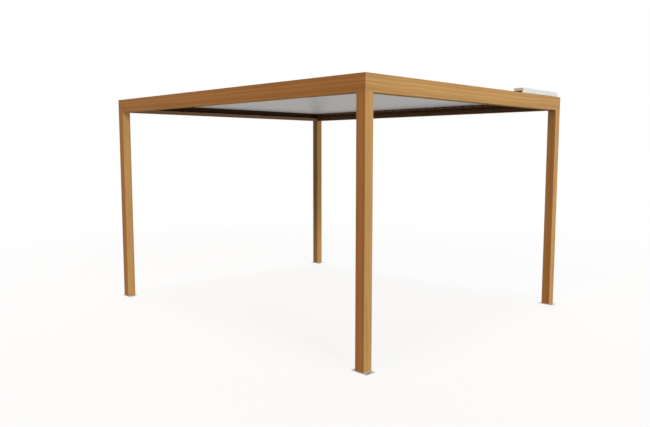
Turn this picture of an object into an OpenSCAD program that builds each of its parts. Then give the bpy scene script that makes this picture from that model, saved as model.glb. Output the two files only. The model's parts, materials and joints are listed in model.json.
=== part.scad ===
// Louvered pergola in aluminium: four hollow posts on foot plates, four mitred gutter beams,
// a roof of louvres that turn together about pins in two pivot rails, the link bar that ties
// their cranks, and a control housing on the front beam. Millimetres. The origin is on the
// ground at the centre of the footprint, +X to the right, +Y to the back, +Z up.

/* [Frame] */
// Width across the outer faces of the beams, along X
frame_width = 3500; // [2400:10:4500]
// Length across the outer faces of the beams, along Y
frame_length = 4130; // [3000:10:5600]
// Height from the ground to the top of the beams
frame_height = 2500; // [2000:10:3200]

/* [Beams] */
// Height of a beam
beam_depth = 154; // [125:1:240]
// Wall of the beam profile
beam_wall = 3; // [2.5:0.5:5]
// Radius of the beam profile's outer edges
beam_radius = 1.2; // [0.4:0.1:1.2]
// Width of the closed outer chamber of a beam
chamber_width = 35; // [24:1:42]
// Height of the gutter's inner lip above the underside of a beam
lip_height = 41; // [20:1:55]

/* [Posts] */
// Side of a square post, which is also the width of a beam
post_size = 100; // [80:1:160]
// Wall of a post
post_wall = 3; // [2:0.5:6]
// Radius of a post's outer corners
post_radius = 2; // [0.5:0.5:5]

/* [Foot plates] */
// Thickness of a foot plate
plate_thickness = 8; // [4:1:16]
// How far a foot plate stands out in front of and behind its post
plate_flange = 40; // [30:1:80]
// Diameter of an anchor hole
anchor_hole = 13; // [8:0.5:18]
// Distance from an anchor hole's centre to the side of its plate
anchor_side = 20; // [14:1:30]

/* [Louvres] */
// Number of louvres
louvre_count = 27; // [12:1:34]
// Thickness of a louvre
louvre_thickness = 38; // [32:1:46]
// Wall of the louvre profile
louvre_wall = 2; // [1.2:0.1:2.6]
// Running gap between neighbouring louvres
louvre_gap = 6; // [5.6:0.1:9]
// How far a louvre's rear flange covers the front channel of the next louvre
louvre_overlap = 12; // [8:1:18]
// Height of a louvre's front channel
channel_height = 14; // [10:1:16]
// Distance from the pivot axis to a louvre's inner webs
web_offset = 18; // [12:1:26]
// Drop from the top of the beams to the top of the closed louvres
roof_drop = 5; // [2:1:20]
// How far the row of louvres reaches over the front and back gutters
row_cover = 30; // [10:1:36]
// How far each louvre reaches over the left and right gutters
end_cover = 18; // [10:1:22]

/* [Louvre drive] */
// Thickness of a louvre's end cap
cap_thickness = 3; // [2:0.5:6]
// Joint line between a louvre and its end cap
cap_joint = 0.3; // [0.2:0.1:0.6]
// Diameter of a pivot pin
pivot_pin = 10; // [8:0.5:14]
// Diameter of a crank pin
crank_pin = 8; // [6:0.5:10]
// Distance from the pivot axis to the crank pin
crank_radius = 50; // [42:1:55]
// Angle of a crank from straight down, towards the front, when the roof is closed
crank_angle = 45; // [30:1:60]
// Thickness of a crank
crank_thickness = 5; // [3:0.5:6]
// Radius of the boss at each end of a crank
crank_boss = 10; // [8:0.5:12]
// Width of a crank between its bosses
crank_width = 14; // [8:1:15]
// Thickness of the link bar
link_thickness = 6; // [4:0.5:8]
// Height of the link bar
link_height = 20; // [16:1:24]
// Washer space between a crank and the link bar
washer_gap = 2; // [1:0.5:4]
// Radial clearance of a crank pin in the link bar
link_clearance = 0.3; // [0.1:0.05:0.5]
// Thickness of a pivot rail
rail_thickness = 8; // [6:0.5:10]
// Height of a pivot rail
rail_height = 36; // [28:1:46]
// Radial clearance of a pivot pin in its rail
pivot_clearance = 0.05; // [0.02:0.01:0.1]
// Distance from the tip of a pivot pin to the beam behind its rail
pin_end_gap = 1; // [0.5:0.5:3]

/* [Control housing] */
// Length of the housing
housing_length = 830; // [400:10:1200]
// Width of the housing
housing_width = 115; // [90:1:116]
// Height of the housing above the beam
housing_height = 52; // [36:1:90]
// Wall of the housing
housing_wall = 3; // [2:0.5:5]
// Radius of the housing's upright edges
housing_radius = 4; // [1:0.5:6]
// Distance from the right end of the housing to the right face of the frame
housing_inset = 78; // [20:1:400]
// Thickness of the plate under the housing
base_thickness = 3; // [2:0.5:6]
// Width of the cable slot in the left end of the housing
slot_width = 80; // [30:1:84]
// Height of the cable slot
slot_height = 17; // [8:1:24]

/* [Hidden] */
beam_bottom = frame_height - beam_depth;
post_height = beam_bottom - plate_thickness;
inner_width = frame_width - 2 * post_size;
inner_length = frame_length - 2 * post_size;

louvre_length = inner_width + 2 * end_cover;
louvre_pitch = (inner_length + 2 * row_cover + louvre_gap) / louvre_count;
half_blade = (louvre_pitch - louvre_gap) / 2;
half_thickness = louvre_thickness / 2;
channel_width = louvre_overlap + louvre_gap;
channel_top = channel_height - half_thickness;
flange_bottom = channel_top + louvre_gap;
flange_tip = half_blade + louvre_gap + louvre_overlap;
axis_z = frame_height - roof_drop - half_thickness;
row_half = (louvre_count - 1) / 2 * louvre_pitch;

cap_face = louvre_length / 2 + cap_joint + cap_thickness;
crank_face = cap_face + crank_thickness;
link_face = crank_face + washer_gap;
rail_face = frame_width / 2 - chamber_width - rail_thickness;
pin_tip = rail_face + rail_thickness - pin_end_gap;
crank_y = -crank_radius * sin(crank_angle);
crank_z = -crank_radius * cos(crank_angle);

housing_right = frame_width / 2 - housing_inset;
housing_left = housing_right - housing_length;
housing_front = -frame_length / 2;

wood_light = "#b8935a";
wood_dark = "#8f6035";
white_coat = "#dcdedd";
bare_metal = "#a9acae";
rail_black = "#2c2a28";

$fn = 48;

function two_digits(i) = i < 10 ? str("0", i) : str(i);
function louvre_name(i) = str("louvre_", two_digits(i));

// Lays a drawing made in (Y, Z) along X, from the plane x = 0 to x = length.
module along_x(length) {
    rotate([90, 0, 90])
        linear_extrude(height = length)
            children();
}

// A rectangle from its lowest to its highest corner.
module rectangle(low, high) {
    translate(low)
        square(high - low);
}

// The same with its four corners rounded.
module rounded_rectangle(low, high, radius) {
    rectangle(low + [radius, 0], high - [radius, 0]);
    rectangle(low + [0, radius], high - [0, radius]);
    for (x = [low.x + radius, high.x - radius], y = [low.y + radius, high.y - radius])
        translate([x, y])
            circle(r = radius);
}

// ---- Posts and foot plates ----

// Centre of the post on one side in X and in Y, where a side is -1 or 1.
function post_centre(side_x, side_y) = [
    side_x * (frame_width - post_size) / 2,
    side_y * (frame_length - post_size) / 2,
    0
];

module post(side_x, side_y) {
    corner = [post_size / 2, post_size / 2];
    color(wood_light)
        translate(post_centre(side_x, side_y) + [0, 0, plate_thickness])
            linear_extrude(height = post_height)
                difference() {
                    rounded_rectangle(-corner, corner, post_radius);
                    square(post_size - 2 * post_wall, center = true);
                }
}

module foot_plate(side_x, side_y) {
    plate_length = post_size + 2 * plate_flange;
    hole_x = post_size / 2 - anchor_side;
    hole_y = (post_size + plate_flange) / 2;
    color(bare_metal)
        translate(post_centre(side_x, side_y))
            difference() {
                translate([-post_size / 2, -plate_length / 2, 0])
                    cube([post_size, plate_length, plate_thickness]);
                for (x = [-hole_x, hole_x], y = [-hole_y, hole_y])
                    translate([x, y, -1])
                        cylinder(d = anchor_hole, h = plate_thickness + 2);
            }
}

// ---- Beams ----

// Section of a beam: the first axis runs inwards from the outer face, the second one up.
module beam_section() {
    difference() {
        rounded_rectangle([0, 0], [chamber_width, beam_depth], beam_radius);
        rectangle([beam_wall, beam_wall], [chamber_width - beam_wall, beam_depth - beam_wall]);
    }
    rectangle([chamber_width - beam_wall, 0], [post_size - beam_wall / 2, beam_wall]);
    rounded_rectangle([post_size - beam_wall, 0], [post_size, lip_height], beam_radius);
}

// A beam that runs along X, with its outer face towards -Y at the distance given.
module beam(length, face_distance) {
    translate([-length / 2, -face_distance, beam_bottom])
        intersection() {
            along_x(length)
                beam_section();
            linear_extrude(height = beam_depth)
                polygon([[0, 0], [length, 0], [length - post_size, post_size], [post_size, post_size]]);
        }
}

module beam_front() {
    color(wood_light)
        beam(frame_width, frame_length / 2);
}

module beam_back() {
    color(wood_light)
        mirror([0, 1, 0])
            beam(frame_width, frame_length / 2);
}

module beam_left() {
    color(wood_dark)
        rotate([0, 0, -90])
            beam(frame_length, frame_width / 2);
}

module beam_right() {
    color(wood_dark)
        rotate([0, 0, 90])
            beam(frame_length, frame_width / 2);
}

// ---- Louvres and their drive ----

function louvre_y(i) = (i - 1) * louvre_pitch - row_half;

// Outline of a louvre about its pivot axis: a front channel that catches water, a flat
// underside, and a rear flange that lies over the next louvre's channel.
module louvre_outline() {
    body_front = channel_width - half_blade;
    difference() {
        union() {
            rectangle([-half_blade, -half_thickness], [body_front, channel_top]);
            rectangle([body_front, -half_thickness], [half_blade, half_thickness]);
            rectangle([half_blade, flange_bottom], [flange_tip, half_thickness]);
        }
        rectangle(
            [louvre_wall - half_blade, louvre_wall - half_thickness],
            [body_front, channel_top + 1]
        );
    }
}

// The louvre profile's hollow chambers, divided by two webs beside the pivot.
module louvre_chambers() {
    low = louvre_wall - half_thickness;
    high = half_thickness - louvre_wall;
    half_web = louvre_wall / 2;
    rectangle([channel_width - half_blade + louvre_wall, low], [-web_offset - half_web, high]);
    rectangle([half_web - web_offset, low], [web_offset - half_web, high]);
    rectangle([web_offset + half_web, low], [half_blade - louvre_wall, high]);
    rectangle([half_blade, flange_bottom + louvre_wall], [flange_tip - louvre_wall, high]);
}

module louvre_profile() {
    translate([-louvre_length / 2, 0, 0])
        along_x(louvre_length)
            difference() {
                louvre_outline();
                louvre_chambers();
            }
}

// End cap at the right end of a louvre, with its pivot pin.
module end_cap() {
    translate([cap_face - cap_thickness, 0, 0])
        along_x(cap_thickness)
            louvre_outline();
    translate([cap_face, 0, 0])
        rotate([0, 90, 0])
            cylinder(d = pivot_pin, h = pin_tip - cap_face);
}

// Crank arm on the right end cap, with the pin that the link bar hangs on.
module crank() {
    translate([cap_face, 0, 0])
        along_x(crank_thickness) {
            circle(r = crank_boss);
            translate([crank_y, crank_z])
                circle(r = crank_boss);
            rotate(-90 - crank_angle)
                translate([0, -crank_width / 2])
                    square([crank_radius, crank_width]);
        }
    translate([crank_face, crank_y, crank_z])
        rotate([0, 90, 0])
            cylinder(d = crank_pin, h = 2 * washer_gap + link_thickness);
}

module louvre(i) {
    translate([0, louvre_y(i), axis_z])
        color(white_coat) {
            louvre_profile();
            end_cap();
            mirror([1, 0, 0])
                end_cap();
            crank();
        }
}

// Bar along Y at the right of the frame, drilled for every louvre.
module drilled_bar(thickness, height, hole_diameter, reach) {
    difference() {
        translate([0, -row_half - reach, -height / 2])
            cube([thickness, 2 * (row_half + reach), height]);
        for (i = [1 : louvre_count])
            translate([-1, louvre_y(i), 0])
                rotate([0, 90, 0])
                    cylinder(d = hole_diameter, h = thickness + 2);
    }
}

module pivot_rail_right() {
    color(rail_black)
        translate([rail_face, 0, axis_z])
            drilled_bar(rail_thickness, rail_height, pivot_pin + 2 * pivot_clearance, rail_height / 2);
}

module pivot_rail_left() {
    mirror([1, 0, 0])
        pivot_rail_right();
}

module link_bar() {
    color(bare_metal)
        translate([link_face, crank_y, axis_z + crank_z])
            drilled_bar(link_thickness, link_height, crank_pin + 2 * link_clearance, link_height / 2);
}

// ---- Control housing ----

module housing_base() {
    color(bare_metal)
        translate([housing_left, housing_front, frame_height])
            linear_extrude(height = base_thickness)
                rounded_rectangle([0, 0], [housing_length, post_size], housing_radius);
}

module housing_cover() {
    cover_height = housing_height - base_thickness;
    color(white_coat)
        translate([housing_left, housing_front, frame_height + base_thickness])
            difference() {
                linear_extrude(height = cover_height)
                    rounded_rectangle([0, 0], [housing_length, housing_width], housing_radius);
                translate([housing_wall, housing_wall, -1])
                    cube([
                        housing_length - 2 * housing_wall,
                        housing_width - 2 * housing_wall,
                        cover_height - housing_wall + 1
                    ]);
                translate([-1, (housing_width - slot_width) / 2, -1])
                    cube([housing_wall + 2, slot_width, slot_height + 1]);
            }
}

// ---- Nodes ----

post(-1, -1);  // post_front_left
post(1, -1);  // post_front_right
post(-1, 1);  // post_back_left
post(1, 1);  // post_back_right
foot_plate(-1, -1);  // foot_plate_front_left
foot_plate(1, -1);  // foot_plate_front_right
foot_plate(-1, 1);  // foot_plate_back_left
foot_plate(1, 1);  // foot_plate_back_right
beam_front();
beam_back();
beam_left();
beam_right();
pivot_rail_left();
pivot_rail_right();
link_bar();
housing_base();
housing_cover();
for (i = [1 : louvre_count])
    louvre(i);
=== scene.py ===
"""Finishes, small fittings, studio and camera of a louvered pergola.

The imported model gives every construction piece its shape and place. This script dresses
those pieces in procedural materials, adds the fittings that seal and fasten them, and sets
up a plain studio. Lengths are in metres: +X right, +Y back, +Z up, the ground at z = 0.
"""

import json
import logging
import math
from collections.abc import Callable, Mapping, Sequence
from dataclasses import dataclass
from enum import Enum

import bmesh
import bpy
from mathutils import Matrix, Vector


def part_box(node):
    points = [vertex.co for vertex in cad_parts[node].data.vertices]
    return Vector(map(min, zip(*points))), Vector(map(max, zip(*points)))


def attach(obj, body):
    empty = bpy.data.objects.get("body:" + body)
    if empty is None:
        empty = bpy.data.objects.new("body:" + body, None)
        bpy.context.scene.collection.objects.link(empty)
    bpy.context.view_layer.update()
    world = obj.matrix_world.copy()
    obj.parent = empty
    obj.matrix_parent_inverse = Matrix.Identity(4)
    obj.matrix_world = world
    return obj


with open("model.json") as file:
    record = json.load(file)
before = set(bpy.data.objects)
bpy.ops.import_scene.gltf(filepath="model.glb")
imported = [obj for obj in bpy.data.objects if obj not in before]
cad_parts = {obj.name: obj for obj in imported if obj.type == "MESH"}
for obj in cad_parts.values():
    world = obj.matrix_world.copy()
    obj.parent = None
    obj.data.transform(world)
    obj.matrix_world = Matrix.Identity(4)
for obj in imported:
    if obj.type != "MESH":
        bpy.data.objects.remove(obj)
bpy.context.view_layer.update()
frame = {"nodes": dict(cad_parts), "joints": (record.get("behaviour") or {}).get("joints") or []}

LOG = logging.getLogger("pergola")
TINY = 0.0002
TOUCH = 0.00001
SHARP = math.radians(32.0)

Colour = tuple[float, float, float]
Pair = tuple[float, float]
Spot = Sequence[float]
Corners = list[bmesh.types.BMVert]
WHITE: Colour = (1.0, 1.0, 1.0)
Feed = "Value | bpy.types.NodeSocket | float | Sequence[float]"
Feeds = Mapping[int | str, Feed]


# ---- Places ----


class Axis(Enum):
    """A direction of the part's frame."""

    X = 0
    Y = 1
    Z = 2

    def others(self) -> tuple[int, int]:
        """Indices of the two directions across this one."""
        first, second = (i for i in range(3) if i != self.value)
        return first, second

    def vector(self, length: float) -> Vector:
        """A vector of a given length this way."""
        return Vector([length if i == self.value else 0.0 for i in range(3)])


class Corner(Enum):
    """A corner of the pergola, with its signs along X and Y."""

    FRONT_LEFT = (-1, -1)
    FRONT_RIGHT = (1, -1)
    BACK_LEFT = (-1, 1)
    BACK_RIGHT = (1, 1)

    @property
    def label(self) -> str:
        """The corner in the names of nodes and pieces."""
        return self.name.lower()

    def place(self, x: float, y: float) -> Pair:
        """A place on this corner's side, from distances to the middle."""
        return self.value[0] * x, self.value[1] * y


@dataclass(frozen=True)
class Layout:
    """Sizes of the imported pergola, with its faces and ends given from its middle.

    Args:
        half_width: Outer face of the left and right beams.
        half_length: Outer face of the front and back beams.
        beam_bottom: Height of the beams' undersides.
        post_size: Side of a post, which is also the width of a beam.
        chamber: Width of a beam's closed outer chamber.
        axis_z: Height of the louvres' pivots.
        axes_y: The louvres' pivots, from front to back.
        tube_end: Cut end of a louvre's profile.
        cap_end: Outer face of a louvre's end cap.
        rail_face: Inner face of a pivot rail.
        link_inner: Inner face of the link bar.
        link_outer: Outer face of the link bar.
        crank_y: How far a crank pin lies behind its louvre's pivot.
        crank_z: How far a crank pin lies over its louvre's pivot.
        wall: Thickness of the beams' walls.
        pin_radius: Radius of a pivot pin.
        crank_pin_radius: Radius of a crank pin.
    """

    half_width: float
    half_length: float
    beam_bottom: float
    post_size: float
    chamber: float
    axis_z: float
    axes_y: tuple[float, ...]
    tube_end: float
    cap_end: float
    rail_face: float
    link_inner: float
    link_outer: float
    crank_y: float
    crank_z: float
    wall: float = 0.003
    pin_radius: float = 0.005
    crank_pin_radius: float = 0.004

    @classmethod
    def read(cls) -> "Layout":
        """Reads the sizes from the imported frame.

        Returns:
            The layout.
        """
        names = ("beam_front", "post_front_left", "pivot_rail_right", "link_bar")
        beam, post, rail, link = (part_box(name) for name in names)
        tilts = [j["pos_m"] for j in frame["joints"] if j["name"].endswith("_tilt")]
        pin = next(j["pos_m"] for j in frame["joints"] if j["name"] == "link_bar_pivot")
        levels = sorted({round(abs(v.co.x), 5) for v in frame["nodes"]["louvre_01"].data.vertices})
        tube_end = levels[0]
        return cls(
            half_width=beam[1].x,
            half_length=-beam[0].y,
            beam_bottom=beam[0].z,
            post_size=post[1].x - post[0].x,
            chamber=beam[1].x - rail[1].x,
            axis_z=tilts[0][2],
            axes_y=tuple(place[1] for place in tilts),
            tube_end=tube_end,
            cap_end=next(level for level in levels if level > tube_end + 10 * TINY),
            rail_face=rail[0].x,
            link_inner=link[0].x,
            link_outer=link[1].x,
            crank_y=pin[1] - tilts[0][1],
            crank_z=pin[2] - tilts[0][2],
        )

    @property
    def pitch(self) -> float:
        """From one louvre's pivot to the next."""
        return self.axes_y[1] - self.axes_y[0]

    @property
    def trough_floor(self) -> float:
        """Height of the floor of the gutter's trough."""
        return self.beam_bottom + self.wall

    @property
    def trough_width(self) -> float:
        """From the beam's closed chamber to the gutter's inner lip."""
        return self.post_size - self.wall - self.chamber

    def inward(self, corner: Corner, x: float, y: float) -> Pair:
        """A place in a corner's trough, from its closed chambers."""
        inset = self.chamber
        return corner.place(self.half_width - inset - x, self.half_length - inset - y)


# ---- Materials ----


def operator(operation: str, swapped: bool = False) -> Callable[["Value", Feed], "Value"]:
    """Makes an operator of Value.

    Args:
        operation: The Math node's operation.
        swapped: Whether the operands change places, as in a reflected form.

    Returns:
        The operator.
    """

    def apply(self: "Value", other: Feed) -> "Value":
        """Adds the node."""
        return self.maths(operation, *((other, self) if swapped else (self, other)))

    return apply


class Value:
    """One output of a material's node, on which Python's operators add Math nodes."""

    __add__ = operator("ADD")
    __radd__ = operator("ADD", True)
    __sub__ = operator("SUBTRACT")
    __rsub__ = operator("SUBTRACT", True)
    __mul__ = operator("MULTIPLY")
    __rmul__ = operator("MULTIPLY", True)
    __truediv__ = operator("DIVIDE")
    __rtruediv__ = operator("DIVIDE", True)

    def __init__(self, nodes: "NodeMaker", socket: bpy.types.NodeSocket) -> None:
        """Wraps a socket of the given maker's tree."""
        self.nodes = nodes
        self.socket = socket

    def maths(self, operation: str, first: Feed, second: Feed = 0.0) -> "Value":
        """One Math node."""
        return self.nodes.value("Math", {0: first, 1: second}, operation=operation)

    def __abs__(self) -> "Value":
        """The size without its sign."""
        return self.maths("ABSOLUTE", self)

    def above(self, level: float) -> "Value":
        """1 where this is over the level, and 0 elsewhere."""
        return self.maths("GREATER_THAN", self, level)


class NodeMaker:
    """Builds the node tree of one material or world."""

    def __init__(self, owner: bpy.types.Material | bpy.types.World) -> None:
        """Empties the owner's tree.

        Args:
            owner: The material or world.
        """
        owner.use_nodes = True
        self.tree = owner.node_tree
        self.tree.nodes.clear()
        self.output = "OutputWorld" if isinstance(owner, bpy.types.World) else "OutputMaterial"

    def add(self, kind: str, feeds: Feeds, **settings: object) -> bpy.types.Node:
        """Adds a node, gives it its settings, and then feeds its sockets.

        Args:
            kind: The node's type, without Blender's prefix.
            feeds: A value, a link or a constant for each socket, by index or name.
            settings: The node's own properties.

        Returns:
            The new node.
        """
        node = self.tree.nodes.new(f"ShaderNode{kind}")
        for name, setting in settings.items():
            setattr(node, name, setting)
        for key, feed in feeds.items():
            socket = node.inputs[key]
            link = feed.socket if isinstance(feed, Value) else feed
            if isinstance(link, bpy.types.NodeSocket):
                self.tree.links.new(link, socket)
            elif isinstance(link, (int, float)):
                socket.default_value = link
            else:
                socket.default_value = (*link, 1.0) if socket.type == "RGBA" else tuple(link)
        return node

    def value(self, kind: str, feeds: Feeds, output: int | str = 0, **settings: object) -> Value:
        """Adds a node as add() does, and returns one of its outputs."""
        return Value(self, self.add(kind, feeds, **settings).outputs[output])

    def point(self) -> list[Value]:
        """The three values of the surface point's place in the part's frame."""
        place = self.value("TexCoord", {}, "Object")
        return [Value(self, socket) for socket in self.add("SeparateXYZ", {0: place}).outputs]

    def combine(self, x: Feed, y: Feed, z: Feed) -> Value:
        """A vector from three values."""
        return self.value("CombineXYZ", {0: x, 1: y, 2: z})

    def length(self, x: Feed, y: Feed) -> Value:
        """The distance of a flat place from zero."""
        return self.value("VectorMath", {0: self.combine(x, y, 0.0)}, "Value", operation="LENGTH")

    def noise(self, vector: Value, detail: float) -> Value:
        """Soft noise of about 0 to 1, one cell per unit of the vector."""
        return self.value("TexNoise", {"Vector": vector, "Scale": 1.0, "Detail": detail})

    def noise_along(self, place: Value, detail: float) -> Value:
        """Soft noise along a single value."""
        feeds = {"W": place, "Scale": 1.0, "Detail": detail}
        return self.value("TexNoise", feeds, noise_dimensions="1D")

    def cells(self, detail: float, x: float, y: float, z: float) -> Value:
        """Soft noise with so many cells to a metre along X, Y and Z."""
        places = (place * scale for place, scale in zip(self.point(), (x, y, z)))
        return self.noise(self.combine(*places), detail)

    def grains(self, detail: float, per_metre: float) -> Value:
        """Soft noise with so many cells to a metre all ways."""
        return self.cells(detail, per_metre, per_metre, per_metre)

    def rise(self, value: Value, low: float, high: float) -> Value:
        """0 below low, 1 above high, and a smooth rise between them."""
        feeds = {"Value": value, "From Min": low, "From Max": high}
        return self.value("MapRange", feeds, interpolation_type="SMOOTHSTEP")

    def blend(self, weight: Feed, first: Feed, second: Feed) -> Value:
        """A colour between two others."""
        return self.value("Mix", {0: weight, 6: first, 7: second}, 2, data_type="RGBA")

    def mottled(self, cloud: Value, low: float, high: float, part: float, colour: Colour) -> Value:
        """A colour that falls to a part of its brightness where the noise is under low."""
        return self.blend(self.rise(cloud, low, high), [part * c for c in colour], colour)

    def bump(self, height: Value, distance: float, strength: float) -> Value:
        """A normal tilted by a height, whose full rise is the distance."""
        return self.value("Bump", {"Height": height, "Distance": distance, "Strength": strength})

    def seen(self) -> Value:
        """1 for what the camera sees straight, in a reflection or through glass."""
        ways = ("Camera", "Glossy", "Transmission")
        return sum(self.value("LightPath", {}, f"Is {way} Ray") for way in ways).above(0.5)

    def layer(self, weight: Feed, under: bpy.types.Node, over: bpy.types.Node) -> bpy.types.Node:
        """A shader between two others."""
        return self.add("MixShader", {0: weight, 1: under.outputs[0], 2: over.outputs[0]})

    def close(self, shader: bpy.types.Node) -> None:
        """Ends the tree with a shader."""
        self.add(self.output, {"Surface": shader.outputs[0]})


class Finish:
    """A procedural look, whose kinds say what they feed a Principled shader."""

    def feeds(self, nodes: NodeMaker) -> dict[str, Feed]:
        """What the finish gives the sockets of the shader."""
        raise NotImplementedError

    def material(self, name: str) -> bpy.types.Material:
        """Builds the material.

        Args:
            name: Its name.

        Returns:
            The material.
        """
        material = bpy.data.materials.new(name)
        nodes = NodeMaker(material)
        nodes.close(nodes.add("BsdfPrincipled", self.feeds(nodes)))
        return material


@dataclass(frozen=True)
class WoodFilm(Finish):
    """Golden oak film over an aluminium profile, with its grain along one axis.

    Args:
        axis: The way the grain runs.
        pith: Where the rings' centre lies in the two directions across the grain.
        light: Colour of the early wood.
        dark: Colour of the late wood.
        pore: Colour of the open pores.
        band_width: Mean width of the broad streaks.
        ring_width: Mean width of a ring.
        gloss: Strength of the film's reflections.
    """

    axis: Axis
    pith: Pair
    light: Colour = (0.578, 0.331, 0.116)
    dark: Colour = (0.362, 0.187, 0.057)
    pore: Colour = (0.200, 0.096, 0.030)
    band_width: float = 0.028
    ring_width: float = 0.0075
    gloss: float = 0.22

    def feeds(self, nodes: NodeMaker) -> dict[str, Feed]:
        """The colour, roughness and relief of the film.

        Args:
            nodes: The tree to build in.

        Returns:
            The feeds of a Principled shader.
        """
        point = nodes.point()
        along = point[self.axis.value]
        first, second = (point[i] for i in self.axis.others())

        def grain(across_cells: float, along_cells: float, detail: float) -> Value:
            """Noise with so many cells to a metre across and along the grain."""
            place = nodes.combine(first * across_cells, second * across_cells, along * along_cells)
            return nodes.noise(place, detail)

        wander = grain(1.0, 0.55, 2.0) - 0.5
        ripple = grain(9.0, 1.6, 2.0) - 0.5
        across = first - self.pith[0] + wander * 0.055
        depth = second - self.pith[1] - wander * 0.040
        radius = nodes.length(across, depth) + ripple * 0.012
        bands = nodes.noise_along(radius / self.band_width, 2.0)
        rings = nodes.noise_along(radius / self.ring_width, 2.0)
        fibres = grain(260.0, 3.5, 3.0)
        cloud = grain(3.0, 0.8, 2.0)
        pores = nodes.rise(grain(520.0, 22.0, 2.0), 0.60, 0.74)
        mix = bands * 0.34 + rings * 0.26 + fibres * 0.24 + cloud * 0.16
        plain = nodes.blend(nodes.rise(mix, 0.34, 0.66), self.dark, self.light)
        relief = fibres * 0.6 + (1.0 - pores) * 0.4
        return {
            "Base Color": nodes.blend(pores * 0.32, plain, self.pore),
            "Roughness": 0.50 + relief * 0.14,
            "Specular IOR Level": self.gloss,
            "Normal": nodes.bump(relief, 0.0003, 0.22),
        }


@dataclass(frozen=True)
class BeamFinish(Finish):
    """The wood film on a beam, with painted shade in its trough and on its lip's inner face, and a
    dull underside.

    Args:
        film: The film, with its grain along the beam.
        plan: Sizes of the pergola.
        across: The direction across the beam.
        face: From the middle of the pergola to the beam's outer face.
        trough: Painted shade colour of the trough.
        lip_shade_colour: Painted shade colour of the lip's inner face.
        lip: Thickness of the lip, and a little more.
        lip_shade_weight: How much of the painted shade colour the lip's inner face takes.
        dullness: How much rougher the lip, the trough and the underside are than the film.
    """

    film: WoodFilm
    plan: Layout
    across: Axis
    face: float
    trough: Colour
    lip_shade_colour: Colour
    lip: float = 0.0035
    lip_shade_weight: float = 0.85
    dullness: float = 0.40

    def feeds(self, nodes: NodeMaker) -> dict[str, Feed]:
        """The film's feeds, with painted shade on the lip's inner face and in the trough, and
        rougher there and on the underside.

        Args:
            nodes: The tree to build in.

        Returns:
            The feeds of a Principled shader.
        """
        point, plan = nodes.point(), self.plan
        inward = self.face - abs(point[self.across.value])
        before_lip = 1.0 - inward.above(plan.post_size - self.lip)
        over_floor = point[2].above(plan.trough_floor - TINY)
        inside = inward.above(plan.chamber - TINY) * before_lip * over_floor
        lip_face = inward.above(plan.post_size - TINY)
        above = point[2].above(plan.beam_bottom + TINY)
        dull = 1.0 - above * (1.0 - lip_face) * (1.0 - inside)
        feeds = self.film.feeds(nodes)
        # Painted shade: the lip's inner face is pulled towards a dark shade colour.
        lip_shaded = nodes.blend(lip_face * self.lip_shade_weight, feeds["Base Color"], self.lip_shade_colour)
        # Painted shade: the trough takes a dark colour that stands in for the shade falling in it.
        feeds["Base Color"] = nodes.blend(inside, lip_shaded, self.trough)
        feeds["Roughness"] = feeds["Roughness"] + dull * self.dullness
        return feeds


@dataclass(frozen=True)
class PowderCoat(Finish):
    """A baked powder coat with its orange peel.

    Args:
        colour: Colour of the coat.
        roughness: Mean roughness.
        grain: Width of a pimple of the orange peel.
    """

    colour: Colour = (0.700, 0.700, 0.690)
    roughness: float = 0.46
    grain: float = 0.0022

    def feeds(self, nodes: NodeMaker) -> dict[str, Feed]:
        """The colour, roughness and orange peel of the coat.

        Args:
            nodes: The tree to build in.

        Returns:
            The feeds of a Principled shader.
        """
        peel = nodes.grains(1.0, 1.0 / self.grain)
        cloud = nodes.cells(3.0, 1.3, 5.0, 5.0)
        return {
            "Base Color": nodes.mottled(cloud, 0.25, 0.65, 0.94, self.colour),
            "Roughness": self.roughness - 0.05 + cloud * 0.10,
            "Specular IOR Level": 0.45,
            "Normal": nodes.bump(peel, 0.00012, 0.30),
        }


@dataclass(frozen=True)
class LouvreFinish(Finish):
    """White coat on a louvre's profile, black end caps and dark steel pins and crank.

    Args:
        coat: The coat of the profile.
        plan: Sizes of the pergola.
        cap_colour: Colour of the end caps.
        steel_colour: Colour of the pins and the crank.
    """

    coat: PowderCoat
    plan: Layout
    cap_colour: Colour = (0.022, 0.020, 0.018)
    steel_colour: Colour = (0.022, 0.019, 0.017)

    def feeds(self, nodes: NodeMaker) -> dict[str, Feed]:
        """The coat's feeds, changed on the caps, the pins and the crank.

        Args:
            nodes: The tree to build in.

        Returns:
            The feeds of a Principled shader.
        """
        reach = abs(nodes.point()[0])
        cap = reach.above(self.plan.tube_end + TINY / 2)
        metal = reach.above(self.plan.cap_end + TINY / 2)
        feeds = self.coat.feeds(nodes)
        mottle = nodes.grains(3.0, 180.0)
        ends = nodes.blend(metal, self.cap_colour, self.steel_colour)
        feeds["Base Color"] = nodes.blend(cap, feeds["Base Color"], ends)
        feeds["Roughness"] = feeds["Roughness"] + cap * (mottle * 0.20)
        feeds["Metallic"] = metal
        return feeds


@dataclass(frozen=True)
class BareMetal(Finish):
    """Rolled or drawn metal with fine lines along one axis.

    Args:
        axis: The way the lines run.
        colour: Colour of the metal.
        roughness: Mean roughness.
    """

    axis: Axis
    colour: Colour = (0.70, 0.71, 0.72)
    roughness: float = 0.42

    def feeds(self, nodes: NodeMaker) -> dict[str, Feed]:
        """The colour, roughness and lines of the metal.

        Args:
            nodes: The tree to build in.

        Returns:
            The feeds of a Principled shader.
        """
        lines = nodes.cells(2.0, *(9.0 if axis is self.axis else 900.0 for axis in Axis))
        cloud = nodes.grains(3.0, 30.0)
        return {
            "Base Color": nodes.mottled(cloud, 0.3, 0.6, 0.80, self.colour),
            "Metallic": 1.0,
            "Roughness": self.roughness - 0.10 + lines * 0.12 + cloud * 0.08,
            "Normal": nodes.bump(lines, 0.00008, 0.35),
        }


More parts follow.
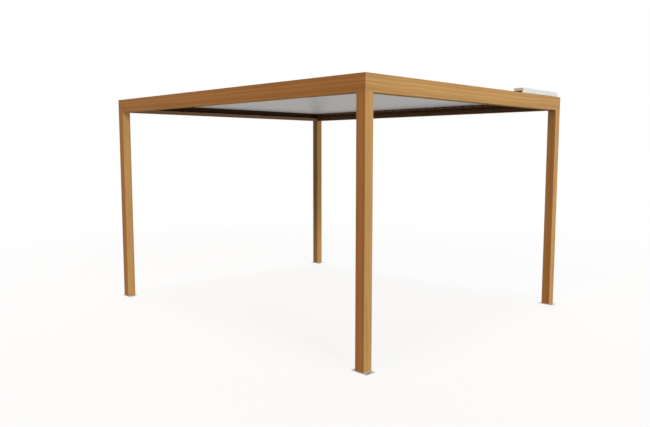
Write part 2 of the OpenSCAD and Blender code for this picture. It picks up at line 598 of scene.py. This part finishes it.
@dataclass(frozen=True)
class Moulded(Finish):
    """Moulded plastic or rubber with a fine eroded texture.

    Args:
        colour: Its colour.
        roughness: Mean roughness.
    """

    colour: Colour
    roughness: float = 0.55

    def feeds(self, nodes: NodeMaker) -> dict[str, Feed]:
        """The colour, roughness and texture of the moulding.

        Args:
            nodes: The tree to build in.

        Returns:
            The feeds of a Principled shader.
        """
        grain = nodes.grains(2.0, 1400.0)
        cloud = nodes.grains(3.0, 12.0)
        return {
            "Base Color": nodes.mottled(cloud, 0.3, 0.7, 0.82, self.colour),
            "Roughness": self.roughness - 0.06 + grain * 0.12,
            "Specular IOR Level": 0.4,
            "Normal": nodes.bump(grain, 0.00010, 0.30),
        }


def dress(node: str, material: bpy.types.Material) -> None:
    """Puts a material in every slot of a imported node.

    Args:
        node: The node's name.
        material: Its material.
    """
    mesh = frame["nodes"][node].data
    if not mesh.materials:
        mesh.materials.append(material)
    for index in range(len(mesh.materials)):
        mesh.materials[index] = material
    LOG.info("%s: dressed in %s", node, material.name)


# ---- Shaping ----


def add_object(name: str, data: bpy.types.ID) -> bpy.types.Object:
    """Makes an object of the scene.

    Args:
        name: Its name.
        data: Its mesh, lamp or camera.

    Returns:
        The object.
    """
    made = bpy.data.objects.new(name, data)
    bpy.context.scene.collection.objects.link(made)
    return made


class Workpiece:
    """Metal or rubber being shaped, which ends as one named piece of the pergola."""

    def __init__(self) -> None:
        """Starts with nothing."""
        self.bm = bmesh.new()

    def bar(self, outline: Sequence[Pair], axis: Axis, start: float, end: float) -> Corners:
        """Adds a straight bar.

        Args:
            outline: Corners of the bar's section, in the two directions across it.
            axis: The way the bar runs.
            start: Where it starts along that way.
            end: Where it ends.

        Returns:
            The bar's corners.
        """
        first, second = axis.others()
        corners = []
        for a, b in outline:
            place = axis.vector(start)
            place[first], place[second] = a, b
            corners.append(self.bm.verts.new(place))
        face = self.bm.faces.new(corners)
        made = bmesh.ops.extrude_face_region(self.bm, geom=[face], use_keep_orig=True)
        moved = [g for g in made["geom"] if isinstance(g, bmesh.types.BMVert)]
        bmesh.ops.translate(self.bm, verts=moved, vec=axis.vector(end - start))
        return corners + moved

    def turned(
        self, profile: Sequence[Pair], axis: Axis, centre: Spot, steps: int, closed: bool = False
    ) -> Corners:
        """Adds a piece turned about an axis.

        Args:
            profile: Pairs of distance from the axis and place along it.
            axis: Direction of the axis.
            centre: Where the profile's zero lies.
            steps: Faces round the piece.
            closed: Whether the profile is a ring that doesn't touch the axis.

        Returns:
            The piece's corners.
        """
        before = set(self.bm.verts)
        places = []
        for distance, height in profile:
            place = Vector(centre) + axis.vector(height)
            place[axis.others()[0]] += distance
            places.append(self.bm.verts.new(place))
        pairs = list(zip(places, places[1:])) + ([(places[-1], places[0])] if closed else [])
        edges = [self.bm.edges.new(pair) for pair in pairs]
        bmesh.ops.spin(
            self.bm,
            geom=[*places, *edges],
            cent=centre,
            axis=axis.vector(1.0),
            angle=math.tau,
            steps=steps,
            use_merge=True,
        )
        made = [v for v in self.bm.verts if v not in before]
        bmesh.ops.remove_doubles(self.bm, verts=made, dist=TOUCH / 10)
        return [v for v in self.bm.verts if v not in before]

    def screw(self, axis: Axis, way: int, place: Spot, radius: float, slot: int = 0) -> None:
        """Adds the head of a socket screw.

        Args:
            axis: Direction of the screw.
            way: 1 where the head points along the axis, and -1 against it.
            place: Where the head sits on its face.
            radius: Radius of the head.
            slot: Material slot of its faces.
        """
        height, socket, corner = 0.62 * radius * way, 0.45 * radius, math.radians(30.0)
        floor, shoulder = 0.35 * height, 0.62 * height
        hollow = [(0.0, floor), (socket, floor), (socket, height)]
        head = [(0.78 * radius, height), (radius, shoulder), (radius, 0.0), (0.0, 0.0)]
        first, second = axis.others()
        for vert in self.turned(hollow + head, axis, place, 12):
            for face in vert.link_faces:
                face.material_index = slot
            offset = vert.co - Vector(place)
            distance = math.hypot(offset[first], offset[second])
            turn = round(math.atan2(offset[second], offset[first]) / corner)
            # Every other corner of the socket moves in, which makes it a hexagon.
            if abs(distance - socket) < TOUCH and turn % 2:
                vert.co[first] = place[first] + offset[first] * math.cos(corner)
                vert.co[second] = place[second] + offset[second] * math.cos(corner)

    def finish(self, name: str, body: str, slot: str, *materials: bpy.types.Material) -> None:
        """Makes the piece, which rides on a body.

        Args:
            name: Name of the piece.
            body: The body it moves with.
            slot: A material slot of the record; not used.
            materials: One material for each slot of its faces.
        """
        bmesh.ops.recalc_face_normals(self.bm, faces=self.bm.faces[:])
        for face in self.bm.faces:
            face.smooth = True
        for edge in self.bm.edges:
            edge.smooth = edge.is_manifold and edge.calc_face_angle(math.pi) < SHARP
        mesh = bpy.data.meshes.new(name)
        self.bm.to_mesh(mesh)
        self.bm.free()
        for material in materials:
            mesh.materials.append(material)
        piece = add_object(name, mesh)
        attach(piece, body)
        LOG.info("%s: made, rides on %s", name, body)


# ---- Studio and camera ----


@dataclass(frozen=True)
class Lamp:
    """A distant lamp with a soft edge.

    Args:
        name: Name of the lamp.
        towards: Direction from the pergola to the lamp.
        strength: What it gives a surface that faces it, where 1 shows a colour as written.
        width_deg: Apparent width of the lamp.
        colour: Colour of its light.
    """

    name: str
    towards: tuple[float, float, float]
    strength: float
    width_deg: float
    colour: Colour = WHITE

    def place(self) -> None:
        """Adds the lamp to the scene."""
        data = bpy.data.lights.new(self.name, "SUN")
        data.energy = self.strength * math.pi
        data.angle = math.radians(self.width_deg)
        data.color = self.colour
        # A lamp below the horizon shines through the floor, which only stops scattered rays.
        data.cycles.use_multiple_importance_sampling = self.towards[2] > 0.0
        turn = Vector(self.towards).to_track_quat("Z", "Y")
        add_object(self.name, data).rotation_euler = turn.to_euler()


@dataclass(frozen=True)
class GroundPanel:
    """A wide soft panel on the floor that lights the undersides, and isn't seen.

    Args:
        width: Diameter of the panel.
        height: How far over the floor it lies.
        strength: What it gives a surface right over it, where 1 shows a colour as written.
        spread_deg: How far its light spreads.
        colour: Colour of its light.
    """

    width: float = 9.0
    height: float = 0.012
    strength: float = 0.073
    spread_deg: float = 50.0
    colour: Colour = (1.0, 0.94, 0.86)

    def place(self) -> None:
        """Adds the panel to the scene."""
        data = bpy.data.lights.new("ground_panel", "AREA")
        data.shape = "DISK"
        data.size = self.width
        data.spread = math.radians(self.spread_deg)
        data.energy = self.strength * (math.pi * self.width / 2) ** 2
        data.color = self.colour
        panel = add_object("ground_panel", data)
        panel.location = (0.0, 0.0, self.height)
        panel.rotation_euler = (math.pi, 0.0, 0.0)
        panel.visible_camera = False
        panel.visible_glossy = False


@dataclass(frozen=True)
class Studio:
    """A pale floor that fades to white, even light from all round, and soft lamps.

    Args:
        floor_radius: Radius of the floor.
        bounce: How much light the floor throws back.
        white_near: How white the floor is to the eye, whatever light falls on it.
        white_from: Where that starts to rise.
        white_to: Where the floor is fully white.
        dome_strength: Strength of the even light.
        lamps: The soft lamps.
        panel: The panel on the floor.
    """

    floor_radius: float = 60.0
    bounce: float = 0.12
    white_near: float = 0.86
    white_from: float = 4.0
    white_to: float = 11.0
    dome_strength: float = 0.08
    lamps: tuple[Lamp, ...] = (
        Lamp("key_lamp", (-0.322, -0.876, 0.359), 0.415, 15.0, (0.96, 1.0, 0.97)),
        Lamp("front_lamp", (0.10, -1.0, 0.30), 0.135, 60.0, (0.96, 1.0, 0.97)),
        Lamp("low_lamp", (0.10, -1.0, -0.35), 0.39, 60.0),
        Lamp("side_lamp", (-0.80, -0.15, 0.55), 0.353, 30.0, (1.0, 0.42, 0.11)),
        Lamp("back_lamp", (0.60, 0.60, 0.45), 0.45, 60.0),
        Lamp("top_lamp", (0.0, 0.0, 1.0), 0.30, 20.0, (0.80, 0.93, 1.0)),
    )
    panel: GroundPanel = GroundPanel()

    def build(self) -> None:
        """Adds the floor, the world and the lamps, and sets the plain view."""
        self._floor()
        self._world()
        for lamp in self.lamps:
            lamp.place()
        self.panel.place()
        bpy.context.scene.view_settings.view_transform = "Standard"
        LOG.info("studio: floor, world, %d lamps and a panel", len(self.lamps))

    def _floor(self) -> None:
        """A round floor, white to the eye, which keeps a soft shadow and lets a low lamp through."""
        bm = bmesh.new()
        bmesh.ops.create_circle(bm, cap_ends=True, segments=96, radius=self.floor_radius)
        mesh = bpy.data.meshes.new("studio_floor")
        bm.to_mesh(mesh)
        bm.free()
        floor = add_object("studio_floor", mesh)
        floor.visible_shadow = False
        material = bpy.data.materials.new("studio_floor")
        nodes = NodeMaker(material)
        x, y, _ = nodes.point()
        seen = nodes.seen()
        far = nodes.rise(nodes.length(x, y), self.white_from, self.white_to)
        white = seen * (self.white_near + far * (1.0 - self.white_near))
        pale = nodes.blend(seen, (self.bounce,) * 3, WHITE)
        plain = nodes.add("BsdfDiffuse", {"Color": pale})
        glow = nodes.add("Emission", {"Color": WHITE, "Strength": 1.0})
        clear = nodes.add("BsdfTransparent", {})
        below = nodes.value("NewGeometry", {}, "Backfacing")
        nodes.close(nodes.layer(below, nodes.layer(white, plain, glow), clear))
        mesh.materials.append(material)

    def _world(self) -> None:
        """White to the eye, and a dim even dome as light."""
        world = bpy.data.worlds.new("studio_world")
        bpy.context.scene.world = world
        nodes = NodeMaker(world)
        dome = nodes.add("Background", {"Color": WHITE, "Strength": self.dome_strength})
        white = nodes.add("Background", {"Color": WHITE, "Strength": 1.0})
        nodes.close(nodes.layer(nodes.seen(), dome, white))


@dataclass(frozen=True)
class Camera:
    """A camera at eye height before the front left corner.

    Args:
        eye: Where it stands.
        heading_deg: Where it looks, from +X towards +Y.
        down_deg: How far it looks down.
        lens_mm: Focal length.
        sensor_mm: Width of the sensor.
    """

    eye: tuple[float, float, float] = (-5.6474, -5.4945, 1.8796)
    heading_deg: float = 44.937
    down_deg: float = 5.727
    lens_mm: float = 35.22
    sensor_mm: float = 36.0

    def place(self) -> None:
        """Adds the camera and makes it the scene's."""
        data = bpy.data.cameras.new("camera")
        data.sensor_fit = "HORIZONTAL"
        data.sensor_width = self.sensor_mm
        data.lens = self.lens_mm
        camera = add_object("camera", data)
        camera.location = self.eye
        turns = (90.0 - self.down_deg, 0.0, self.heading_deg - 90.0)
        camera.rotation_euler = [math.radians(turn) for turn in turns]
        bpy.context.scene.camera = camera


# ---- The pergola ----


@dataclass(frozen=True)
class Stock:
    """The materials that several sub-assemblies share.

    Args:
        rubber: Seals, beads and edging.
        black_plastic: Rails, bushings and strainers.
        screw_steel: Screws, collars, washers and clips.
        bronze: The link bar and the corner brackets.
    """

    rubber: bpy.types.Material
    black_plastic: bpy.types.Material
    screw_steel: bpy.types.Material
    bronze: bpy.types.Material

    @classmethod
    def make(cls) -> "Stock":
        """Builds the shared materials.

        Returns:
            The stock.
        """
        return cls(
            rubber=Moulded((0.018, 0.018, 0.018), 0.68).material("seal_rubber"),
            black_plastic=Moulded((0.030, 0.028, 0.026), 0.50).material("black_plastic"),
            screw_steel=BareMetal(Axis.Z, (0.52, 0.52, 0.53), 0.34).material("screw_steel"),
            bronze=PowderCoat((0.250, 0.112, 0.041), 0.50, 0.0016).material("bronze_coat"),
        )


@dataclass
class Assembly:
    """A part of the pergola.

    Args:
        layout: Sizes of the pergola.
        stock: The shared materials.
    """

    layout: Layout
    stock: Stock

    def build(self) -> None:
        """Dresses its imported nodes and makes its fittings."""
        raise NotImplementedError


@dataclass
class Timber(Assembly):
    """The posts and beams, which look like oak.

    Args:
        side_trough_shade: Painted shade in the left and right gutters, behind the louvres' ends,
            lighter than in the front and back ones.
        end_trough_shade: Painted shade in the front and back gutters, near black.
        side_lip_shade: Painted shade on the inner faces of the left and right gutters' lips, darker
            than on the front and back ones.
        end_lip_shade: Painted shade on the inner faces of the front and back gutters' lips.
        post_pith_side: How far the rings' centre lies outside a post's middle along X.
        post_pith_back: How far it lies inside the middle along Y.
        beam_pith_drop: How far it lies under a beam's middle.
        beam_pith_part: How far out it lies, as a part of the beam's distance.
    """

    # Painted shade colours for the gutters: near black in the front and back troughs, and darker on
    # the side lips than on the front and back lips.
    side_trough_shade: Colour = (0.192, 0.090, 0.036)
    end_trough_shade: Colour = (0.034, 0.013, 0.003)
    side_lip_shade: Colour = (0.088, 0.053, 0.039)
    end_lip_shade: Colour = (0.152, 0.091, 0.061)
    post_pith_side: float = 0.030
    post_pith_back: float = 0.120
    beam_pith_drop: float = 0.160
    beam_pith_part: float = 0.97

    def build(self) -> None:
        """Dresses the posts and the beams."""
        for corner in Corner:
            self._dress_post(corner)
        for side, axis in (("front", Axis.X), ("back", Axis.X), ("left", Axis.Y), ("right", Axis.Y)):
            self._dress_beam(f"beam_{side}", axis)

    def _dress_post(self, corner: Corner) -> None:
        """Gives a post its film, with the rings' centre on its inner side.

        Args:
            corner: Where the post stands.
        """
        node = f"post_{corner.label}"
        middle = sum(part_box(node), Vector()) / 2
        side, back = corner.place(self.post_pith_side, self.post_pith_back)
        film = WoodFilm(Axis.Z, (middle.x + side, middle.y - back))
        dress(node, film.material(f"oak_{node}"))

    def _dress_beam(self, node: str, axis: Axis) -> None:
        """Gives a beam its film, with painted shade in its trough and on its lip's inner face.

        Args:
            node: The beam's node.
            axis: The way it runs.
        """
        plan = self.layout
        # Painted shade differs by side: the front and back beams and the side beams take their own
        # trough and lip shade colours.
        if axis is Axis.X:
            across, face, trough, lip_shade_colour = Axis.Y, plan.half_length, self.end_trough_shade, self.end_lip_shade
        else:
            across, face, trough, lip_shade_colour = Axis.X, plan.half_width, self.side_trough_shade, self.side_lip_shade
        middle = sum(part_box(node), Vector()) / 2
        pith = (middle[across.value] * self.beam_pith_part, middle.z - self.beam_pith_drop)
        finish = BeamFinish(WoodFilm(axis, pith), plan, across, face, trough, lip_shade_colour)
        dress(node, finish.material(f"oak_{node}"))


@dataclass
class FootPlates(Assembly):
    """The four plates under the posts, with the welds that hold each post.

    Args:
        weld: Height and width of a weld.
        swell: How far the weld's face stands out, as a part of that.
        margin: How far a weld stops short of the post's side.
    """

    weld: float = 0.005
    swell: float = 0.62
    margin: float = 0.0015

    def build(self) -> None:
        """Dresses the plates and lays the welds."""
        metal = BareMetal(Axis.Y, (0.50, 0.48, 0.45), 0.52).material("plate_metal")
        bead = BareMetal(Axis.Z, (0.46, 0.44, 0.42), 0.60).material("weld_metal")
        for corner in Corner:
            dress(f"foot_plate_{corner.label}", metal)
            self._welds(corner, bead)

    def _welds(self, corner: Corner, metal: bpy.types.Material) -> None:
        """Lays a fillet weld along the front and the back of a post's foot.

        Args:
            corner: Where the post stands.
            metal: The weld's material.
        """
        low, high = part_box(f"post_{corner.label}")
        swell = self.swell * self.weld
        section = [(0.0, 0.0), (self.weld, 0.0), (swell, swell), (0.0, self.weld)]
        work = Workpiece()
        for face, side in ((low.y, -1), (high.y, 1)):
            outline = [(face + side * out, low.z + up) for out, up in section]
            work.bar(outline, Axis.X, low.x + self.margin, high.x - self.margin)
        work.finish(f"foot_welds_{corner.label}", "frame", "foot_plate", metal)


@dataclass
class LouvreRoof(Assembly):
    """The louvres with their seals, cap screws, clips and collars.

    Args:
        cap_screws: Where a cap's screws sit, from the pivot, as y and z.
        screw_radius: Radius of their heads.
        collar: Radius and thickness of a pivot pin's collar.
        collar_reach: How far the collar starts before the rail.
        washer: Radius and thickness of a crank pin's washer.
        washer_reach: How far the washer starts before the link bar.
        clip: Radius and thickness of a crank pin's clip.
        clip_gap: How far the clip starts behind the link bar.
        ring_gap: Radial gap between a pin and its rings.
        bevel: Width of a ring's broken edges.
        seal_y: How far the seal's middle lies behind the pivot.
        seal_half: Front half of its section, as y from its middle and z from the pivot.
        seal_tip: Lowest point of the section.
    """

    cap_screws: tuple[Pair, ...] = ((-0.042, 0.008), (0.040, 0.0), (0.063, 0.008))
    screw_radius: float = 0.0035
    collar: Pair = (0.0080, 0.0030)
    collar_reach: float = 0.0047
    washer: Pair = (0.0080, 0.0018)
    washer_reach: float = 0.0020
    clip: Pair = (0.0064, 0.0012)
    clip_gap: float = 0.0003
    ring_gap: float = 0.00005
    bevel: float = 0.0003
    seal_y: float = 0.0860
    seal_half: tuple[Pair, ...] = ((-0.0020, 0.0010), (-0.0012, -0.0012), (-0.0005, -0.0036))
    seal_tip: Pair = (0.0, -0.0040)

    def build(self) -> None:
        """Dresses the louvres and makes their fittings."""
        coat = LouvreFinish(PowderCoat(), self.layout).material("louvre_coat")
        for number, axis_y in enumerate(self.layout.axes_y, start=1):
            louvre = f"louvre_{number:02d}"
            dress(louvre, coat)
            self._seal(louvre, axis_y)
            self._hardware(louvre, axis_y)

    def _seal(self, louvre: str, axis_y: float) -> None:
        """Makes the rubber lip that drips into the next louvre's channel.

        Args:
            louvre: The louvre's node.
            axis_y: Where its pivot lies.
        """
        plan = self.layout
        back = [(-y, z) for y, z in reversed(self.seal_half)]
        middle, pivot = axis_y + self.seal_y, plan.axis_z
        outline = [(middle + y, pivot + z) for y, z in (*self.seal_half, self.seal_tip, *back)]
        work = Workpiece()
        work.bar(outline, Axis.X, -plan.tube_end, plan.tube_end)
        work.finish(f"{louvre}_seal", louvre, "pivot_rail", self.stock.rubber)

    def _hardware(self, louvre: str, axis_y: float) -> None:
        """Makes cap screws, collars on the pivot pins, and washer and clip on the crank pin.

        Args:
            louvre: The louvre's node.
            axis_y: Where its pivot lies.
        """
        plan = self.layout
        work = Workpiece()
        for side in (-1, 1):
            for y, z in self.cap_screws:
                place = (side * plan.cap_end, axis_y + y, plan.axis_z + z)
                work.screw(Axis.X, side, place, self.screw_radius)
            centre = (side * (plan.rail_face - self.collar_reach), axis_y, plan.axis_z)
            self._ring(work, centre, side, plan.pin_radius, self.collar)
        pin_y, pin_z = axis_y + plan.crank_y, plan.axis_z + plan.crank_z
        for start, ring in (
            (plan.link_inner - self.washer_reach, self.washer),
            (plan.link_outer + self.clip_gap, self.clip),
        ):
            self._ring(work, (start, pin_y, pin_z), 1, plan.crank_pin_radius, ring)
        work.finish(f"{louvre}_hardware", louvre, "link_bar", self.stock.screw_steel)

    def _ring(self, work: Workpiece, centre: Spot, side: int, pin_radius: float, ring: Pair) -> None:
        """Adds a flat ring round a pin, with its outer edges broken.

        Args:
            work: What the ring is added to.
            centre: Where it starts on the pin's axis.
            side: 1 where it goes on to the right, and -1 to the left.
            pin_radius: Radius of the pin.
            ring: Radius and thickness of the ring.
        """
        inner, (outer, width), bevel = pin_radius + self.ring_gap, ring, self.bevel
        near = [(inner, 0.0), (outer - bevel, 0.0), (outer, bevel)]
        far = [(outer, width - bevel), (outer - bevel, width), (inner, width)]
        profile = [(radius, side * reach) for radius, reach in near + far]
        work.turned(profile, Axis.X, centre, 16, closed=True)


@dataclass
class PivotRails(Assembly):
    """The rails that carry the louvres' pins, with their bushings and screws.

    Args:
        bushing_radius: Radius of a bushing's flange.
        bushing_width: Thickness of the flange.
        bevel: Width of the flange's broken edge.
        play: Radial gap between a pin and its bushing.
        screw_every: How many louvres lie between two screws.
        screw_radius: Radius of the screws' heads.
    """

    bushing_radius: float = 0.0090
    bushing_width: float = 0.0015
    bevel: float = 0.0004
    play: float = 0.0002
    screw_every: int = 3
    screw_radius: float = 0.0045

    def build(self) -> None:
        """Dresses the rails and makes their bushings and screws."""
        for name, side in (("left", -1), ("right", 1)):
            dress(f"pivot_rail_{name}", self.stock.black_plastic)
            self._fittings(name, side)

    def _fittings(self, name: str, side: int) -> None:
        """Makes bushing flanges round the pins, and screws between them.

        Args:
            name: The rail's side, left or right.
            side: -1 for the left rail, and 1 for the right one.
        """
        plan = self.layout
        inner, outer, width = plan.pin_radius + self.play, self.bushing_radius, self.bushing_width
        front = [(inner, 0.0), (outer - self.bevel, 0.0), (outer, side * self.bevel)]
        flange = [*front, (outer, side * width), (inner, side * width)]
        start = side * (plan.rail_face - width)
        bushings, screws = Workpiece(), Workpiece()
        for number, axis_y in enumerate(plan.axes_y):
            bushings.turned(flange, Axis.X, (start, axis_y, plan.axis_z), 20, closed=True)
            if number % self.screw_every == 1:
                place = (side * plan.rail_face, axis_y + plan.pitch / 2, plan.axis_z)
                screws.screw(Axis.X, -side, place, self.screw_radius)
        bushings.finish(f"bushings_{name}", "frame", "pivot_rail", self.stock.black_plastic)
        screws.finish(f"rail_screws_{name}", "frame", "link_bar", self.stock.screw_steel)


@dataclass
class GutterCorners(Assembly):
    """What holds and drains each corner of the gutter.

    Args:
        bead_radius: Half the width of the sealing bead along the mitre.
        bead_rise: How high the bead stands, as a part of that.
        leg: Length of a corner bracket's legs.
        sheet: Thickness of the bracket.
        bracket_low: How far the bracket starts over the trough's floor.
        bracket_high: How far it ends over the floor.
        screw_reaches: Where a leg's screws sit, from the trough's outer corner.
        screw_radius: Radius of their heads.
        dome_radius: Radius of the leaf strainer.
        rim: Half the width of its foot ring, and the ring's height.
        button_radius: Radius of the button on its top.
        ribs: Number of its ribs.
        rib_size: Half the depth and half the width of a rib.
        rib_foot: Where the ribs start, over the trough's floor.
        rib_turn_deg: How far they curve up.
    """

    bead_radius: float = 0.0025
    bead_rise: float = 0.7
    leg: float = 0.060
    sheet: float = 0.003
    bracket_low: float = 0.004
    bracket_high: float = 0.042
    screw_reaches: Pair = (0.022, 0.048)
    screw_radius: float = 0.0045
    dome_radius: float = 0.022
    rim: float = 0.003
    button_radius: float = 0.006
    ribs: int = 10
    rib_size: Pair = (0.001, 0.0009)
    rib_foot: float = 0.002
    rib_turn_deg: float = 78.0

    def build(self) -> None:
        """Makes the brackets, beads and strainers of the four corners."""
        for corner in Corner:
            self._bracket(corner)
            self._bead(corner)
            self._strainer(corner)

    def _bracket(self, corner: Corner) -> None:
        """Makes an angle in the trough's outer corner, with two screws in each leg.

        Args:
            corner: The gutter's corner.
        """
        plan, leg, sheet = self.layout, self.leg, self.sheet
        section = [(0.0, 0.0), (leg, 0.0), (leg, sheet), (sheet, sheet), (sheet, leg), (0.0, leg)]
        low, high = plan.trough_floor + self.bracket_low, plan.trough_floor + self.bracket_high
        work = Workpiece()
        work.bar([plan.inward(corner, x, y) for x, y in section], Axis.Z, low, high)
        way_x, way_y = corner.place(-1, -1)
        for reach in self.screw_reaches:
            on_y = (*plan.inward(corner, reach, sheet), (low + high) / 2)
            on_x = (*plan.inward(corner, sheet, reach), (low + high) / 2)
            work.screw(Axis.Y, way_y, on_y, self.screw_radius, 1)
            work.screw(Axis.X, way_x, on_x, self.screw_radius, 1)
        name = f"corner_bracket_{corner.label}"
        work.finish(name, "frame", "foot_plate", self.stock.bronze, self.stock.screw_steel)

    def _bead(self, corner: Corner) -> None:
        """Makes a half-round bead of sealant along the mitre, on the trough's floor.

        Args:
            corner: The gutter's corner.
        """
        plan, lip = self.layout, self.layout.trough_width
        turns = [math.pi * step / 8 for step in range(9)]
        wide, high = self.bead_radius, self.bead_radius * self.bead_rise
        outline = [(wide * math.cos(turn), high * math.sin(turn)) for turn in turns]
        work = Workpiece()
        made = work.bar(outline, Axis.X, 0.0, lip * math.sqrt(2.0))
        start = Matrix.Translation((*plan.inward(corner, lip, lip), plan.trough_floor))
        turn = Matrix.Rotation(math.atan2(*reversed(corner.value)), 4, "Z")
        bmesh.ops.transform(work.bm, matrix=start @ turn, verts=made)
        work.finish(f"mitre_bead_{corner.label}", "frame", "pivot_rail", self.stock.rubber)

    def _strainer(self, corner: Corner) -> None:
        """Makes a ribbed dome that keeps leaves out of the drain.

        Args:
            corner: The gutter's corner.
        """
        plan, half_way = self.layout, self.layout.trough_width / 2
        place = (*plan.inward(corner, half_way, half_way), plan.trough_floor)
        radius, rim, wide, half = self.dome_radius, self.rim, self.button_radius, self.rib_size[0]
        inner, outer, top, foot = radius - rim, radius + rim, radius + rim, radius - half
        ring = [(inner, 0.0), (outer, 0.0), (outer, rim / 2), (radius, rim), (inner, rim)]
        edge = [(wide - 2 * half, top), (wide, radius + half), (wide, foot)]
        work = Workpiece()
        work.turned(ring, Axis.Z, place, 32, closed=True)
        work.turned([(0.0, top), *edge, (0.0, foot)], Axis.Z, place, 20)
        for number in range(self.ribs):
            turn = Matrix.Rotation(math.tau * number / self.ribs, 4, "Z")
            matrix = Matrix.Translation(place) @ turn
            bmesh.ops.transform(work.bm, matrix=matrix, verts=self._rib(work.bm))
        name = f"leaf_strainer_{corner.label}"
        work.finish(name, "frame", "pivot_rail", self.stock.black_plastic)

    def _rib(self, bm: bmesh.types.BMesh) -> Corners:
        """Adds one curved rib of a strainer, over zero.

        Args:
            bm: The strainer's mesh.

        Returns:
            The rib's corners.
        """
        before = set(bm.verts)
        depth, half = self.rib_size
        section = ((-depth, -half), (depth, -half), (depth, half), (-depth, half))
        radius, low = self.dome_radius, self.rib_foot
        face = bm.faces.new([bm.verts.new((radius + x, y, low)) for x, y in section])
        bmesh.ops.spin(
            bm,
            geom=[face],
            cent=(0.0, 0.0, low),
            axis=(0.0, -1.0, 0.0),
            angle=math.radians(self.rib_turn_deg),
            steps=6,
        )
        return [v for v in bm.verts if v not in before]


@dataclass
class LinkDrive(Assembly):
    """The bar that ties the cranks."""

    def build(self) -> None:
        """Dresses the bar."""
        dress("link_bar", self.stock.bronze)


@dataclass
class ControlHousing(Assembly):
    """The flat housing on the front beam, with its screws and the slot's edging.

    Args:
        screw_places: Where the cover's screws sit along it, as parts of its length.
        screw_rise: How far the screws sit over the cover's foot.
        screw_radius: Radius of their heads.
        cover_wall: Thickness of the cover.
        slot_width: Width of the cable slot.
        slot_height: Height of the cable slot.
        strip: Thickness of the slot's edging.
        strip_lap: How far the edging lies over the cover round the slot.
    """

    screw_places: tuple[float, ...] = (0.05, 0.35, 0.65, 0.95)
    screw_rise: float = 0.007
    screw_radius: float = 0.0035
    cover_wall: float = 0.003
    slot_width: float = 0.080
    slot_height: float = 0.017
    strip: float = 0.0012
    strip_lap: float = 0.0015

    def build(self) -> None:
        """Dresses the housing and makes its screws and edging."""
        dress("housing_cover", PowderCoat((0.740, 0.750, 0.725), 0.40).material("housing_coat"))
        dress("housing_base", BareMetal(Axis.X, (0.60, 0.60, 0.60)).material("base_metal"))
        self._screws()
        self._edging()

    def _screws(self) -> None:
        """Screws along the foot of the cover's front."""
        low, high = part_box("housing_cover")
        work = Workpiece()
        for part in self.screw_places:
            place = (low.x + part * (high.x - low.x), low.y, low.z + self.screw_rise)
            work.screw(Axis.Y, -1, place, self.screw_radius)
        work.finish("housing_screws", "frame", "link_bar", self.stock.screw_steel)

    def _edging(self) -> None:
        """A rubber strip round the edge of the cable slot."""
        low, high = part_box("housing_cover")
        middle, half = (low.y + high.y) / 2, self.slot_width / 2
        top, back = low.z + self.slot_height, self.strip / 2
        inner, outer = half - back, half + self.strip_lap
        over = [(-outer, low.z), (-outer, top + self.strip_lap)]
        under = [(inner, low.z), (inner, top - back)]
        sides = [*over, *((-y, z) for y, z in reversed(over)), *under]
        outline = [(middle + y, z) for y, z in (*sides, *((-y, z) for y, z in reversed(under)))]
        work = Workpiece()
        work.bar(outline, Axis.X, low.x - self.strip, low.x + self.cover_wall + self.strip)
        work.finish("slot_edging", "frame", "pivot_rail", self.stock.rubber)


def main() -> None:
    """Builds the looks, the fittings, the studio and the camera, in that order."""
    logging.basicConfig(level=logging.INFO, format="%(message)s")
    layout = Layout.read()
    stock = Stock.make()
    kinds = (Timber, FootPlates, LouvreRoof, PivotRails, LinkDrive, GutterCorners, ControlHousing)
    for kind in kinds:
        kind(layout, stock).build()
    Studio().build()
    Camera().place()


if __name__ == "__main__":
    main()
